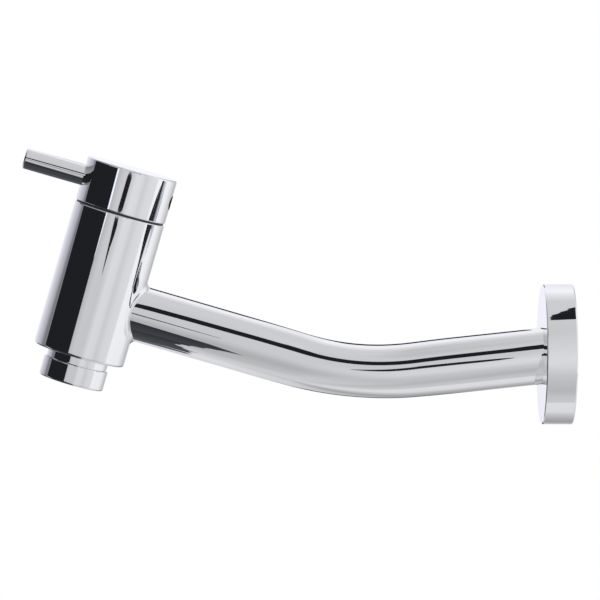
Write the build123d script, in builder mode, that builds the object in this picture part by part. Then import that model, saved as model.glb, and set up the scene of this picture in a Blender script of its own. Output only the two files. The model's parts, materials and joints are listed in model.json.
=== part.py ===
from build123d import *
import os
from math import cos, hypot, pi, radians, sin, tan

os.makedirs("parts", exist_ok=True)

# Wall-mounted tap: a bent tube arm with a cover flange at the wall and a leaning round head.
# The head holds a quarter-turn ceramic headwork, turned by a cap with a pin lever, and an
# aerator underneath. Millimetres, +Z up. The wall is the plane Y = 0, the tap reaches from it
# towards -Y, and the origin is the centre of the inlet's mouth. The arm and the head lie in
# the plane X = 0.

# Fits
solder_gap = 0.02  # radial, between parts that are soldered together
thread_gap = 0.05  # radial, between two threads, drawn as plain cylinders
running_gap = 0.05  # radial, between parts that turn or slide in each other
seal_gap = 0.02  # left beside a rubber ring
face_gap = 0.05  # between flat faces that rub on each other
clear_gap = 0.3  # between parts that pass each other freely
disc_gap = 0.1  # radial, between the ceramic discs and the barrel
cut_over = 0.5  # how far a cut runs past the wall that it goes through
full_turn = 360.0
hexagon_sides = 6
ring_sides = 8  # of a rubber ring's section

# Arm: it falls from the wall to the bend, then rises to the head
tube_od = 21.3
tube_wall = 1.6
bend_reach = 82.6  # wall face to the point where the two centrelines cross
head_reach = 180.7  # wall face to the point where the arm's centreline meets the head's axis
arm_fall = 6.36  # degrees below level, wall side
arm_rise = 15.93  # degrees above level, head side
bend_radius = 116.0
bend_flat = 1.0  # how much the bend takes off the tube's height at its middle
bend_extra_width = 0.5  # how much wider that makes it

# Cover flange
flange_od = 53.0
flange_depth = 11.6
flange_rim_wall = 2.2
flange_front_wall = 2.6
flange_front_round = 1.6
flange_back_round = 0.6
flange_ring_section = 1.5
flange_ring_groove = 2.0  # radial width of the seat that the rubber ring lies in

# Wall socket
socket_flats = 27.0
socket_depth = 8.6
socket_chamfer = 1.0
inlet_thread_minor = 18.6
inlet_thread_depth = 7.2
spigot_length = 12.0
spigot_bore = 14.0

# Head casing, heights along the head's axis from the arm's centreline
head_wall = 3.3  # radial, around the spanner bore
head_top = 34.5
head_bottom = -21.2
head_top_round = 0.4
head_bottom_round = 1.0
branch_fillet = 1.8
branch_bar = 5.4  # length of bar that the fillet is made on, bored away afterwards
tube_seat = 12.2  # head's axis to the shoulder that the arm's end stands on
spanner_gap = 1.2  # radial, around the headwork's flange
spanner_floor = 17.5
chamber_bore = 22.6
chamber_top = 8.4
seat_height = -9.5
outlet_bore = 11.0
outlet_step = -14.0
collar_od = 23.4
collar_length = 3.0
aerator_thread_od = 21.7
stub_length = 3.6
stub_bore = 16.6

# Handle cap and lever
handle_gap = 0.7  # the dark joint between casing and cap
cap_height = 16.75
cap_wall = 2.6
cap_top_wall = 2.6
cap_top_round = 0.7
cap_bottom_round = 0.4
cap_boss_od = 16.0
cap_boss_floor = 30.0
lever_od = 8.0
lever_tip_radius = 40.1  # head's axis to the lever's tip
lever_drop = 7.55  # cap's top to the lever's centreline
lever_tip_chamfer = 0.5
lever_spigot_od = 6.0
lever_spigot_length = 3.6
grub_drop = 8.4
grub_turn = 8.0  # degrees that the grub screw stands off the line opposite the lever
grub_hole = 5.6
grub_od = 5.0
grub_length = 5.0
grub_hex = 2.5
grub_hex_depth = 2.4

# Glide ring between casing and cap
glide_rim_recess = 0.6  # how far its rim stays inside the casing's outline
glide_wall = 1.2
glide_spigot = 3.0
glide_upstand = 2.4

# Headwork
headwork_thread_od = 20.9
headwork_washer = 1.0
headwork_flange_width = 2.55  # radial, beyond the thread
headwork_flange = 2.0
headwork_flats = 22.0
headwork_hex_height = 4.6
headwork_neck_od = 15.0
headwork_neck = 1.4
barrel_od = 17.4
barrel_bore = 15.2
barrel_bottom = -8.8
stem_od = 9.8
shoulder_height = 5.2  # inner shoulder that the spindle's collar stays under
window_bottom = -4.2
window_top = 1.8
window_span = 88.0
disc_step = 0.2  # windows' lower edge to the fixed disc
quarter_turn = 90.0  # degrees from closed to open
stop_play = 0.5  # degrees left at each end of the quarter turn
stop_lug_span = 60.0
stop_lug_turn = -60.0  # direction of the lug's middle with the tap closed
stop_bottom = 2.3

# Ceramic discs
disc_thickness = 3.0
disc_hub_od = 4.4
port_od = 11.2
port_span = 84.0
notch_span = 92.0
key_width = 3.0
key_reach = 8.4
dog_width = 2.4
dog_length = 4.0
dog_reach = 4.4  # head's axis to a dog's middle
dog_depth = 1.1

# Spindle
foot_height = 3.2
collar_thrust_od = 12.0
collar_top = 4.6
lug_reach = 7.3
thrust_washer = 0.5
stem_ring_section = 1.45
stem_ring_heights = (11.0, 16.0)
stem_ring_groove = 1.7
clip_thickness = 0.7
clip_groove_od = 8.2
clip_od = 13.0
clip_span = 290.0
spline_od = 7.9
spline_teeth = 16
spline_depth = 0.45
spline_height = 16.0

# Seat seal
seat_seal_bore = 11.8

# Aerator
aerator_od = 24.9
aerator_height = 7.75
aerator_gap = 0.15
aerator_lip = 1.1
aerator_mouth = 18.4
aerator_top_round = 0.5
aerator_bottom_round = 0.8
gasket_thickness = 1.4
gasket_bore = 17.0
insert_flange_od = 21.2
cage_od = 16.2
cage_wall = 0.9
cage_rise = 7.4
jet_plate = 1.2
jet_count = 8
jet_bore = 1.6
jet_circle = 9.6
screen_rim = 0.9
screen_wire = 0.3
screen_pitch = 2.4
screen_hole = 1.8
screen_land = 0.9
grid_drop = 0.5
grid_height = 2.8
grid_pitch = 2.1
grid_hole = 1.6

# Worked out from the sizes above
ring_turn = full_turn / ring_sides / 2  # sets the section's flats towards the rod and its bore
tube_bore = tube_od - 2 * tube_wall
fall = radians(arm_fall)
rise = radians(arm_rise)
head_run = head_reach - bend_reach


def arm_level(reach: float) -> float:
    """Height of the arm's wall-side centreline at a distance from the wall."""
    return -(reach - flange_depth / 2) * tan(fall)


arm_to_wall = Vector(0, cos(fall), sin(fall))
arm_root = Vector(0, 0, arm_level(0))
arm_plane = Plane(arm_root, x_dir=(1, 0, 0), z_dir=-arm_to_wall)
bend_point = Vector(0, -bend_reach, arm_level(bend_reach))
head_point = Vector(0, -head_reach, bend_point.Z + head_run * tan(rise))
head_up = Vector(0, sin(rise), cos(rise))
head_out = Vector(0, -cos(rise), sin(rise))
head_axis = Axis(head_point, head_up)
head_level = Plane(head_point, x_dir=(1, 0, 0), z_dir=head_up)
head_section = Plane(head_point, x_dir=(1, 0, 0), z_dir=head_out)
branch_plane = Plane(head_point, x_dir=(1, 0, 0), z_dir=-head_out)
wall_side = 90.0  # direction of the arm, seen down the head's axis

headwork_flange_od = headwork_thread_od + 2 * headwork_flange_width
spanner_bore = headwork_flange_od + 2 * spanner_gap
head_od = spanner_bore + 2 * head_wall
cap_bottom = head_top + handle_gap
cap_top = cap_bottom + cap_height
cap_ceiling = cap_top - cap_top_wall
cap_bore = head_od - 2 * cap_wall
lever_level = cap_top - lever_drop
grub_level = cap_top - grub_drop
neck_base = spanner_floor + headwork_washer + headwork_flange + headwork_hex_height
headwork_top = neck_base + headwork_neck
stem_bore = stem_od + 2 * running_gap
fixed_disc_top = window_bottom - disc_step
fixed_disc_bottom = fixed_disc_top - disc_thickness
moving_disc_bottom = fixed_disc_top + face_gap
moving_disc_top = moving_disc_bottom + disc_thickness
foot_bottom = moving_disc_top + face_gap
foot_top = foot_bottom + foot_height
disc_od = barrel_bore - 2 * disc_gap
port_turns = (wall_side, wall_side + full_turn / 2)
notch_turns = (wall_side + quarter_turn, wall_side + quarter_turn + full_turn / 2)
stop_rib_span = full_turn - quarter_turn - stop_lug_span - 2 * stop_play
stop_rib_turn = stop_lug_turn + (quarter_turn + full_turn) / 2
spline_bottom = headwork_top + clip_thickness + 2 * face_gap
spline_top = spline_bottom + spline_height
collar_bottom = head_bottom - collar_length
stub_bottom = collar_bottom - stub_length
housing_top = collar_bottom - aerator_gap
housing_bottom = housing_top - aerator_height
lip_top = housing_bottom + aerator_lip
gasket_bottom = stub_bottom - gasket_thickness
cage_top = gasket_bottom + cage_rise
screen_od = cage_od - 2 * cage_wall
screen_top = lip_top - grid_drop + grid_height + 2 * screen_rim


def ring_segment(inner: float, outer: float, span: float, middle: float) -> Sketch:
    """Flat ring segment from an inner to an outer diameter, about a direction in degrees."""
    start = middle - span / 2
    with BuildSketch() as segment:
        with BuildLine():
            far = CenterArc((0, 0), outer / 2, start, span)
            near = CenterArc((0, 0), inner / 2, start, span)
            Line(far @ 0, near @ 0)
            Line(far @ 1, near @ 1)
        make_face()
    return segment.sketch


def half_outline(*corners: tuple[float, float]) -> Sketch:
    """Closed outline of a turned part: corners as diameter and height."""
    with BuildSketch() as outline:
        with BuildLine():
            Polyline(*[(diameter / 2, height) for diameter, height in corners], close=True)
        make_face()
    return outline.sketch


def spline_outline(diameter: float, depth: float) -> Sketch:
    """Round section with a ring of V grooves, as deep as the half diagonal given."""
    side = depth * 2**0.5
    with BuildSketch() as outline:
        Circle(diameter / 2)
        with PolarLocations(diameter / 2, spline_teeth):
            Rectangle(side, side, rotation=45, mode=Mode.SUBTRACT)
    return outline.sketch


def square_spots(pitch: float, hole: float, land_od: float) -> list[tuple[float, float]]:
    """Centres of the square holes of a net that fit inside a round land."""
    count = int(land_od / pitch / 2)
    steps = [pitch * index for index in range(-count, count + 1)]
    corner = hole / 2
    return [
        (x, y)
        for x in steps
        for y in steps
        if hypot(abs(x) + corner, abs(y) + corner) < land_od / 2
    ]


# Arm: one bent tube, cut square at the head and parallel to the wall at the socket
tube_end = head_point - head_out * tube_seat
with BuildLine(Plane.YZ) as arm_route:
    FilletPolyline(
        (arm_root.Y, arm_root.Z),
        (bend_point.Y, bend_point.Z),
        (tube_end.Y, tube_end.Z),
        radius=bend_radius,
    )
bend_line = arm_route.edges().filter_by(GeomType.CIRCLE)[0]


def bend_plane(share: float) -> Plane:
    """Plane across the bend, at a share of its length from the wall side."""
    return Plane(bend_line @ share, x_dir=(1, 0, 0), z_dir=bend_line % share)


def bent_bar(diameter: float) -> Part:
    """Solid bar along the arm, round when straight and a little flattened in the bend."""
    with BuildPart() as bar:
        for share in (0, 0.25, 0.5, 0.75, 1):
            flattening = sin(pi * share) ** 2
            with BuildSketch(bend_plane(share)):
                if 0 < share < 1:
                    Ellipse(
                        (diameter + bend_extra_width * flattening) / 2,
                        (diameter - bend_flat * flattening) / 2,
                    )
                else:
                    Circle(diameter / 2)
        sweep(path=bend_line, multisection=True)
        with BuildSketch(bend_plane(0)):
            Circle(diameter / 2)
        extrude(amount=-(arm_root - bend_line @ 0).length)
        with BuildSketch(bend_plane(1)):
            Circle(diameter / 2)
        extrude(amount=(tube_end - bend_line @ 1).length)
    return bar.part


with BuildPart() as arm_tube:
    add(bent_bar(tube_od))
    add(bent_bar(tube_bore), mode=Mode.SUBTRACT)
    split(bisect_by=Plane.XZ.offset(socket_depth), keep=Keep.TOP)
arm_tube.part.label = "arm_tube"
export_step(arm_tube.part, "parts/arm_tube.step")

# Wall socket: hexagon with the inlet thread, and a slanting spigot soldered into the arm
with BuildPart() as wall_socket:
    with BuildSketch(Plane.XZ):
        RegularPolygon(socket_flats / 2, hexagon_sides, major_radius=False)
    extrude(amount=socket_depth)
    with BuildSketch(arm_plane.offset(socket_depth / 2)):
        Circle(tube_bore / 2 - solder_gap)
    extrude(amount=socket_depth / 2 + spigot_length)
    corner_od = socket_flats / cos(pi / hexagon_sides)
    with BuildSketch(Plane.XY):
        with BuildLine():
            Polyline(
                (socket_flats / 2, 0),
                (corner_od / 2, -socket_chamfer),
                (corner_od / 2, 0),
                close=True,
            )
        make_face()
    revolve(axis=Axis.Y, mode=Mode.SUBTRACT)
    with BuildSketch(Plane.XZ):
        Circle(inlet_thread_minor / 2)
    extrude(amount=inlet_thread_depth, mode=Mode.SUBTRACT)
    with BuildSketch(arm_plane):
        Circle(spigot_bore / 2)
    extrude(amount=socket_depth + spigot_length, mode=Mode.SUBTRACT)
wall_socket.part.label = "wall_socket"
export_step(wall_socket.part, "parts/wall_socket.step")

# Cover flange: a shallow cup whose front wall has the arm's slanting bore
ring_seat_depth = flange_ring_section + 2 * seal_gap
ring_centre_reach = flange_depth - flange_front_wall + flange_ring_section / 2 + seal_gap
ring_inner = tube_od / cos(fall) + 2 * running_gap
with BuildPart() as cover_flange:
    with BuildSketch(Plane.XZ):
        Circle(flange_od / 2)
    extrude(amount=flange_depth)
    fillet(cover_flange.edges().sort_by(Axis.Y)[0], flange_front_round)
    fillet(cover_flange.edges().sort_by(Axis.Y)[-1], flange_back_round)
    with BuildSketch(Plane.XZ):
        Circle(flange_od / 2 - flange_rim_wall)
    extrude(amount=flange_depth - flange_front_wall, mode=Mode.SUBTRACT)
    with BuildSketch(Plane.XZ):
        with Locations((0, arm_level(ring_centre_reach))):
            Circle(ring_inner / 2 + flange_ring_groove)
    extrude(amount=flange_depth - flange_front_wall + ring_seat_depth, mode=Mode.SUBTRACT)
    with BuildSketch(arm_plane):
        Circle(tube_od / 2 + running_gap)
    extrude(amount=flange_od, mode=Mode.SUBTRACT)
cover_flange.part.label = "cover_flange"
export_step(cover_flange.part, "parts/cover_flange.step")

# Rubber ring in the flange's front wall, which grips the arm; its section has eight sides
with BuildPart() as flange_o_ring:
    ring_level = arm_level(ring_centre_reach)
    with BuildSketch(Plane((0, 0, ring_level))):
        with Locations((ring_inner / 2 + flange_ring_section / 2, -ring_centre_reach)):
            RegularPolygon(
                flange_ring_section / 2, ring_sides, major_radius=False, rotation=ring_turn
            )
    revolve(axis=Axis((0, 0, ring_level), (0, 1, 0)))
flange_o_ring.part.label = "flange_o_ring"
export_step(flange_o_ring.part, "parts/flange_o_ring.step")

# Head casing: outside first, then the arm's socket, the valve chamber and the outlet
with BuildPart() as body_casing:
    with BuildSketch(head_level.offset(head_bottom)):
        Circle(head_od / 2)
    extrude(amount=head_top - head_bottom)
    fillet(body_casing.edges().sort_by(head_axis)[0], head_bottom_round)
    fillet(body_casing.edges().sort_by(head_axis)[-1], head_top_round)
    with BuildSketch(branch_plane):
        Circle(tube_od / 2 + solder_gap / 2)
    extrude(amount=head_od / 2 + branch_bar)
    straight_kinds = (GeomType.CIRCLE, GeomType.LINE)
    junction = body_casing.edges().filter_by(lambda edge: edge.geom_type not in straight_kinds)
    fillet(junction, branch_fillet)
    with BuildSketch(head_level.offset(collar_bottom)):
        Circle(collar_od / 2)
    extrude(amount=collar_length)
    with BuildSketch(head_level.offset(stub_bottom)):
        Circle(aerator_thread_od / 2)
    extrude(amount=stub_length)
    with BuildSketch(head_section):
        add(
            half_outline(
                (0, head_top),
                (spanner_bore, head_top),
                (spanner_bore, spanner_floor),
                (headwork_thread_od + 2 * thread_gap, spanner_floor),
                (headwork_thread_od + 2 * thread_gap, chamber_top),
                (chamber_bore, chamber_top),
                (chamber_bore, seat_height),
                (outlet_bore, seat_height),
                (outlet_bore, outlet_step),
                (stub_bore, outlet_step),
                (stub_bore, stub_bottom),
                (0, stub_bottom),
            )
        )
    revolve(axis=head_axis, mode=Mode.SUBTRACT)
    with BuildSketch(branch_plane.offset(tube_seat)):
        Circle(tube_od / 2 + solder_gap)
    extrude(amount=head_od, mode=Mode.SUBTRACT)
    with BuildSketch(branch_plane):
        Circle(tube_bore / 2)
    extrude(amount=tube_seat, mode=Mode.SUBTRACT)
body_casing.part.label = "body_casing"
export_step(body_casing.part, "parts/body_casing.step")

# Washer under the headwork's flange
with BuildPart() as headwork_seal:
    with BuildSketch(head_level.offset(spanner_floor)):
        Circle(headwork_flange_od / 2)
        Circle(headwork_thread_od / 2 + 2 * thread_gap, mode=Mode.SUBTRACT)
    extrude(amount=headwork_washer)
headwork_seal.part.label = "headwork_washer"
export_step(headwork_seal.part, "parts/headwork_washer.step")

# Headwork body: barrel with two windows, thread, flange, hexagon and neck
with BuildPart() as headwork_body:
    flange_bottom = spanner_floor + headwork_washer
    flange_top = flange_bottom + headwork_flange
    with BuildSketch(head_section):
        add(
            half_outline(
                (0, barrel_bottom),
                (barrel_od, barrel_bottom),
                (barrel_od, chamber_top),
                (headwork_thread_od, chamber_top),
                (headwork_thread_od, flange_bottom),
                (headwork_flange_od, flange_bottom),
                (headwork_flange_od, flange_top),
                (headwork_neck_od, flange_top),
                (headwork_neck_od, headwork_top),
                (0, headwork_top),
            )
        )
    revolve(axis=head_axis)
    with BuildSketch(head_level.offset(flange_top)):
        RegularPolygon(headwork_flats / 2, hexagon_sides, major_radius=False)
    extrude(amount=headwork_hex_height)
    with BuildSketch(head_section):
        add(
            half_outline(
                (0, barrel_bottom),
                (barrel_bore, barrel_bottom),
                (barrel_bore, shoulder_height),
                (stem_bore, shoulder_height),
                (stem_bore, headwork_top),
                (0, headwork_top),
            )
        )
    revolve(axis=head_axis, mode=Mode.SUBTRACT)
    with BuildSketch(head_level.offset(stop_bottom)):
        add(
            ring_segment(
                collar_thrust_od + 2 * clear_gap,
                barrel_od - running_gap,
                stop_rib_span,
                stop_rib_turn,
            )
        )
    extrude(amount=shoulder_height - stop_bottom)
    with BuildSketch(head_level.offset(window_bottom)):
        for direction in port_turns:
            window = (barrel_bore - 2 * cut_over, barrel_od + 2 * cut_over)
            add(ring_segment(*window, window_span, direction))
    extrude(amount=window_top - window_bottom, mode=Mode.SUBTRACT)
    with BuildSketch(head_level.offset(barrel_bottom)):
        Rectangle(barrel_od + 2 * cut_over, key_width + 2 * running_gap)
    extrude(amount=fixed_disc_top - barrel_bottom, mode=Mode.SUBTRACT)
headwork_body.part.label = "headwork_body"
export_step(headwork_body.part, "parts/headwork_body.step")

# Fixed ceramic disc: two ports, and two keys in the barrel's slots
with BuildPart() as fixed_disc:
    with BuildSketch(head_level.offset(fixed_disc_bottom)):
        Circle(disc_od / 2)
        Rectangle(2 * key_reach, key_width)
        for direction in port_turns:
            add(ring_segment(disc_hub_od, port_od, port_span, direction), mode=Mode.SUBTRACT)
    extrude(amount=disc_thickness)
fixed_disc.part.label = "fixed_disc"
export_step(fixed_disc.part, "parts/fixed_disc.step")

# Moving ceramic disc: its two lands cover the ports, its notches let the water through
with BuildPart() as moving_disc:
    with BuildSketch(head_level.offset(moving_disc_bottom)):
        Circle(disc_od / 2)
        for direction in notch_turns:
            add(ring_segment(disc_hub_od, barrel_od, notch_span, direction), mode=Mode.SUBTRACT)
    extrude(amount=disc_thickness)
    with BuildSketch(head_level.offset(moving_disc_top - dog_depth - face_gap)):
        with PolarLocations(dog_reach, 2, start_angle=wall_side):
            Rectangle(dog_length + 2 * disc_gap, dog_width + 2 * running_gap)
    extrude(amount=dog_depth + face_gap, mode=Mode.SUBTRACT)
moving_disc.part.label = "moving_disc"
export_step(moving_disc.part, "parts/moving_disc.step")

# Spindle: notched foot with two dogs, thrust collar with the stop lug, grooved stem, spline
with BuildPart() as spindle:
    with BuildSketch(head_level.offset(foot_bottom)):
        Circle(disc_od / 2)
        for direction in notch_turns:
            add(ring_segment(disc_hub_od, barrel_od, notch_span, direction), mode=Mode.SUBTRACT)
    extrude(amount=foot_height)
    with BuildSketch(head_level.offset(foot_bottom - dog_depth)):
        with PolarLocations(dog_reach, 2, start_angle=wall_side):
            Rectangle(dog_length, dog_width)
    extrude(amount=dog_depth)
    with BuildSketch(head_level.offset(foot_top)):
        Circle(collar_thrust_od / 2)
        add(ring_segment(stem_od, 2 * lug_reach, stop_lug_span, stop_lug_turn))
    extrude(amount=collar_top - foot_top)
    with BuildSketch(head_level.offset(collar_top)):
        Circle(stem_od / 2)
    extrude(amount=spline_bottom - collar_top)
    with BuildSketch(head_level.offset(spline_bottom)):
        add(spline_outline(spline_od, spline_depth))
    extrude(amount=spline_height)
    for ring_height in stem_ring_heights:
        with BuildSketch(head_level.offset(ring_height - stem_ring_groove / 2)):
            Circle(stem_od)
            Circle(stem_bore / 2 - stem_ring_section - seal_gap, mode=Mode.SUBTRACT)
        extrude(amount=stem_ring_groove, mode=Mode.SUBTRACT)
    with BuildSketch(head_level.offset(headwork_top + face_gap)):
        Circle(stem_od)
        Circle(clip_groove_od / 2, mode=Mode.SUBTRACT)
    extrude(amount=clip_thickness, mode=Mode.SUBTRACT)
spindle.part.label = "spindle"
export_step(spindle.part, "parts/spindle.step")

# Two rubber rings on the spindle's stem, with eight-sided sections as well
with BuildPart() as spindle_o_rings:
    for ring_height in stem_ring_heights:
        with BuildSketch(head_section):
            with Locations((stem_bore / 2 - seal_gap - stem_ring_section / 2, ring_height)):
                RegularPolygon(
                    (stem_ring_section - seal_gap) / 2,
                    ring_sides,
                    major_radius=False,
                    rotation=ring_turn,
                )
        revolve(axis=head_axis)
spindle_o_rings.part.label = "spindle_o_rings"
export_step(spindle_o_rings.part, "parts/spindle_o_rings.step")

# Slip washer between the spindle's collar and the headwork's inner shoulder
with BuildPart() as collar_washer:
    with BuildSketch(head_level.offset(shoulder_height - face_gap - thrust_washer)):
        Circle(collar_thrust_od / 2)
        Circle(stem_od / 2 + running_gap, mode=Mode.SUBTRACT)
    extrude(amount=thrust_washer)
collar_washer.part.label = "thrust_washer"
export_step(collar_washer.part, "parts/thrust_washer.step")

# Open clip in the spindle's groove, on top of the headwork
with BuildPart() as spindle_clip:
    with BuildSketch(head_level.offset(headwork_top + face_gap)):
        add(ring_segment(clip_groove_od + 2 * solder_gap, clip_od, clip_span, wall_side))
    extrude(amount=clip_thickness)
spindle_clip.part.label = "spindle_clip"
export_step(spindle_clip.part, "parts/spindle_clip.step")

# Rubber ring between the fixed disc and the casing's seat
with BuildPart() as seat_seal:
    with BuildSketch(head_level.offset(seat_height)):
        Circle(disc_od / 2)
        Circle(seat_seal_bore / 2, mode=Mode.SUBTRACT)
    extrude(amount=fixed_disc_bottom - seat_height)
seat_seal.part.label = "seat_seal"
export_step(seat_seal.part, "parts/seat_seal.step")

# Glide ring: rim in the joint, spigot in the casing, upstand that centres the cap
with BuildPart() as glide_ring:
    rim_top = cap_bottom - 2 * face_gap
    spigot_od = spanner_bore - 2 * running_gap
    with BuildSketch(head_section):
        add(
            half_outline(
                (spigot_od - 2 * glide_wall, head_top - glide_spigot),
                (spigot_od, head_top - glide_spigot),
                (spigot_od, head_top),
                (head_od - 2 * glide_rim_recess, head_top),
                (head_od - 2 * glide_rim_recess, rim_top),
                (cap_bore - 2 * running_gap, rim_top),
                (cap_bore - 2 * running_gap, rim_top + glide_upstand),
                (spigot_od - 2 * glide_wall, rim_top + glide_upstand),
            )
        )
    revolve(axis=head_axis)
glide_ring.part.label = "glide_ring"
export_step(glide_ring.part, "parts/glide_ring.step")

# Handle cap: a turned cup with a splined boss, the lever's bore and the grub screw's hole
lever_plane = Plane(head_point + head_up * lever_level, z_dir=head_out)
grub_direction = (-head_out).rotate(Axis((0, 0, 0), head_up), -grub_turn)
grub_plane = Plane(head_point + head_up * grub_level, z_dir=grub_direction)
with BuildPart() as handle_cap:
    with BuildSketch(head_level.offset(cap_bottom)):
        Circle(head_od / 2)
    extrude(amount=cap_height)
    fillet(handle_cap.edges().sort_by(head_axis)[0], cap_bottom_round)
    fillet(handle_cap.edges().sort_by(head_axis)[-1], cap_top_round)
    with BuildSketch(head_level.offset(cap_bottom)):
        Circle(cap_bore / 2)
    extrude(amount=cap_ceiling - cap_bottom, mode=Mode.SUBTRACT)
    with BuildSketch(head_level.offset(cap_boss_floor)):
        Circle(cap_boss_od / 2)
    extrude(amount=cap_ceiling - cap_boss_floor)
    with BuildSketch(head_level.offset(cap_boss_floor)):
        add(spline_outline(spline_od + 2 * running_gap, spline_depth - 2 * running_gap))
    extrude(amount=spline_top + clear_gap - cap_boss_floor, mode=Mode.SUBTRACT)
    with BuildSketch(lever_plane.offset(cap_boss_od / 2)):
        Circle(lever_od / 2 + solder_gap)
    extrude(amount=head_od, mode=Mode.SUBTRACT)
    with BuildSketch(lever_plane):
        Circle(lever_spigot_od / 2 + thread_gap)
    extrude(amount=cap_boss_od, mode=Mode.SUBTRACT)
    with BuildSketch(grub_plane.offset(cap_boss_od / 2)):
        Circle(grub_hole / 2)
    extrude(amount=head_od, mode=Mode.SUBTRACT)
    with BuildSketch(grub_plane):
        Circle(grub_od / 2 + thread_gap)
    extrude(amount=cap_boss_od, mode=Mode.SUBTRACT)
handle_cap.part.label = "handle_cap"
export_step(handle_cap.part, "parts/handle_cap.step")

# Pin lever: its thin end is screwed into the boss and its shoulder stands on it
with BuildPart() as lever_pin:
    with BuildSketch(lever_plane.offset(cap_boss_od / 2 + face_gap)):
        Circle(lever_od / 2)
    extrude(amount=lever_tip_radius - cap_boss_od / 2 - face_gap)
    chamfer(lever_pin.edges().sort_by(Axis(head_point, head_out))[-1], lever_tip_chamfer)
    with BuildSketch(lever_plane.offset(cap_boss_od / 2 + face_gap)):
        Circle(lever_spigot_od / 2)
    extrude(amount=-lever_spigot_length)
lever_pin.part.label = "lever_pin"
export_step(lever_pin.part, "parts/lever_pin.step")

# Grub screw: it holds the cap on the spindle's spline
with BuildPart() as grub_screw:
    grub_point = spline_od / 2 + face_gap
    with BuildSketch(grub_plane.offset(grub_point)):
        Circle(grub_od / 2)
    extrude(amount=grub_length)
    with BuildSketch(grub_plane.offset(grub_point + grub_length - grub_hex_depth)):
        RegularPolygon(grub_hex / 2, hexagon_sides, major_radius=False)
    extrude(amount=grub_hex_depth, mode=Mode.SUBTRACT)
grub_screw.part.label = "grub_screw"
export_step(grub_screw.part, "parts/grub_screw.step")

# Aerator housing: threaded ring with an inner lip
with BuildPart() as aerator_housing:
    with BuildSketch(head_level.offset(housing_bottom)):
        Circle(aerator_od / 2)
    extrude(amount=aerator_height)
    fillet(aerator_housing.edges().sort_by(head_axis)[0], aerator_bottom_round)
    fillet(aerator_housing.edges().sort_by(head_axis)[-1], aerator_top_round)
    with BuildSketch(head_level.offset(lip_top)):
        Circle(aerator_thread_od / 2 + thread_gap)
    extrude(amount=aerator_height, mode=Mode.SUBTRACT)
    with BuildSketch(head_level.offset(housing_bottom)):
        Circle(aerator_mouth / 2)
    extrude(amount=aerator_height, mode=Mode.SUBTRACT)
aerator_housing.part.label = "aerator_housing"
export_step(aerator_housing.part, "parts/aerator_housing.step")

# Flat gasket between the casing's stub and the insert
with BuildPart() as aerator_gasket:
    with BuildSketch(head_level.offset(gasket_bottom)):
        Circle(insert_flange_od / 2)
        Circle(gasket_bore / 2, mode=Mode.SUBTRACT)
    extrude(amount=gasket_thickness)
aerator_gasket.part.label = "aerator_gasket"
export_step(aerator_gasket.part, "parts/aerator_gasket.step")

# Insert cage: flange on the housing's lip, barrel up in the stub, jet plate on top
with BuildPart() as aerator_cage:
    with BuildSketch(head_section):
        add(
            half_outline(
                (screen_od, lip_top),
                (insert_flange_od, lip_top),
                (insert_flange_od, gasket_bottom),
                (cage_od, gasket_bottom),
                (cage_od, cage_top),
                (0, cage_top),
                (0, cage_top - jet_plate),
                (screen_od - 2 * cage_wall, cage_top - jet_plate),
                (screen_od - 2 * cage_wall, screen_top),
                (screen_od, screen_top),
            )
        )
    revolve(axis=head_axis)
    with BuildSketch(head_level.offset(cage_top - jet_plate)):
        with PolarLocations(jet_circle / 2, jet_count):
            Circle(jet_bore / 2)
    extrude(amount=jet_plate, mode=Mode.SUBTRACT)
aerator_cage.part.label = "aerator_cage"
export_step(aerator_cage.part, "parts/aerator_cage.step")

# Two mesh screens, each a net in a thicker rim, one on the other
with BuildPart() as aerator_screens:
    screen_spots = square_spots(screen_pitch, screen_hole, screen_od - 2 * screen_land)
    for screen_number in (1, 2):
        screen_floor = screen_top - screen_number * screen_rim
        with BuildSketch(head_level.offset(screen_floor)):
            Circle(screen_od / 2 - running_gap)
            Circle(screen_od / 2 - screen_land, mode=Mode.SUBTRACT)
        extrude(amount=screen_rim - face_gap)
        with BuildSketch(head_level.offset(screen_floor)):
            Circle(screen_od / 2 - screen_land / 2)
            with Locations(*screen_spots):
                Rectangle(screen_hole, screen_hole, mode=Mode.SUBTRACT)
        extrude(amount=screen_wire)
aerator_screens.part.label = "aerator_screens"
export_step(aerator_screens.part, "parts/aerator_screens.step")

# Outlet grid: square cells that straighten the stream
with BuildPart() as aerator_grid:
    grid_od = screen_od - 2 * running_gap
    grid_spots = square_spots(grid_pitch, grid_hole, grid_od - screen_land)
    with BuildSketch(head_level.offset(lip_top - grid_drop)):
        Circle(grid_od / 2)
        with Locations(*grid_spots):
            Rectangle(grid_hole, grid_hole, mode=Mode.SUBTRACT)
    extrude(amount=grid_height - face_gap)
aerator_grid.part.label = "aerator_grid"
export_step(aerator_grid.part, "parts/aerator_grid.step")
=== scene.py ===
"""Wall-mounted tap: finishes, fine pieces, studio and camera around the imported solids.

Everything is in metres and in the part's own frame: the wall is the plane Y = 0, the tap reaches
towards -Y, Z is up, and the arm and the head lie in the plane X = 0.
"""

import json
import logging
import math
from collections.abc import Callable, Sequence
from dataclasses import dataclass
from enum import Enum

import bmesh
import bpy
import numpy as np
from bpy.types import ID, Material, Mesh, Node, NodeSocket, NodeTree, Object
from mathutils import Matrix, Vector


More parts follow.
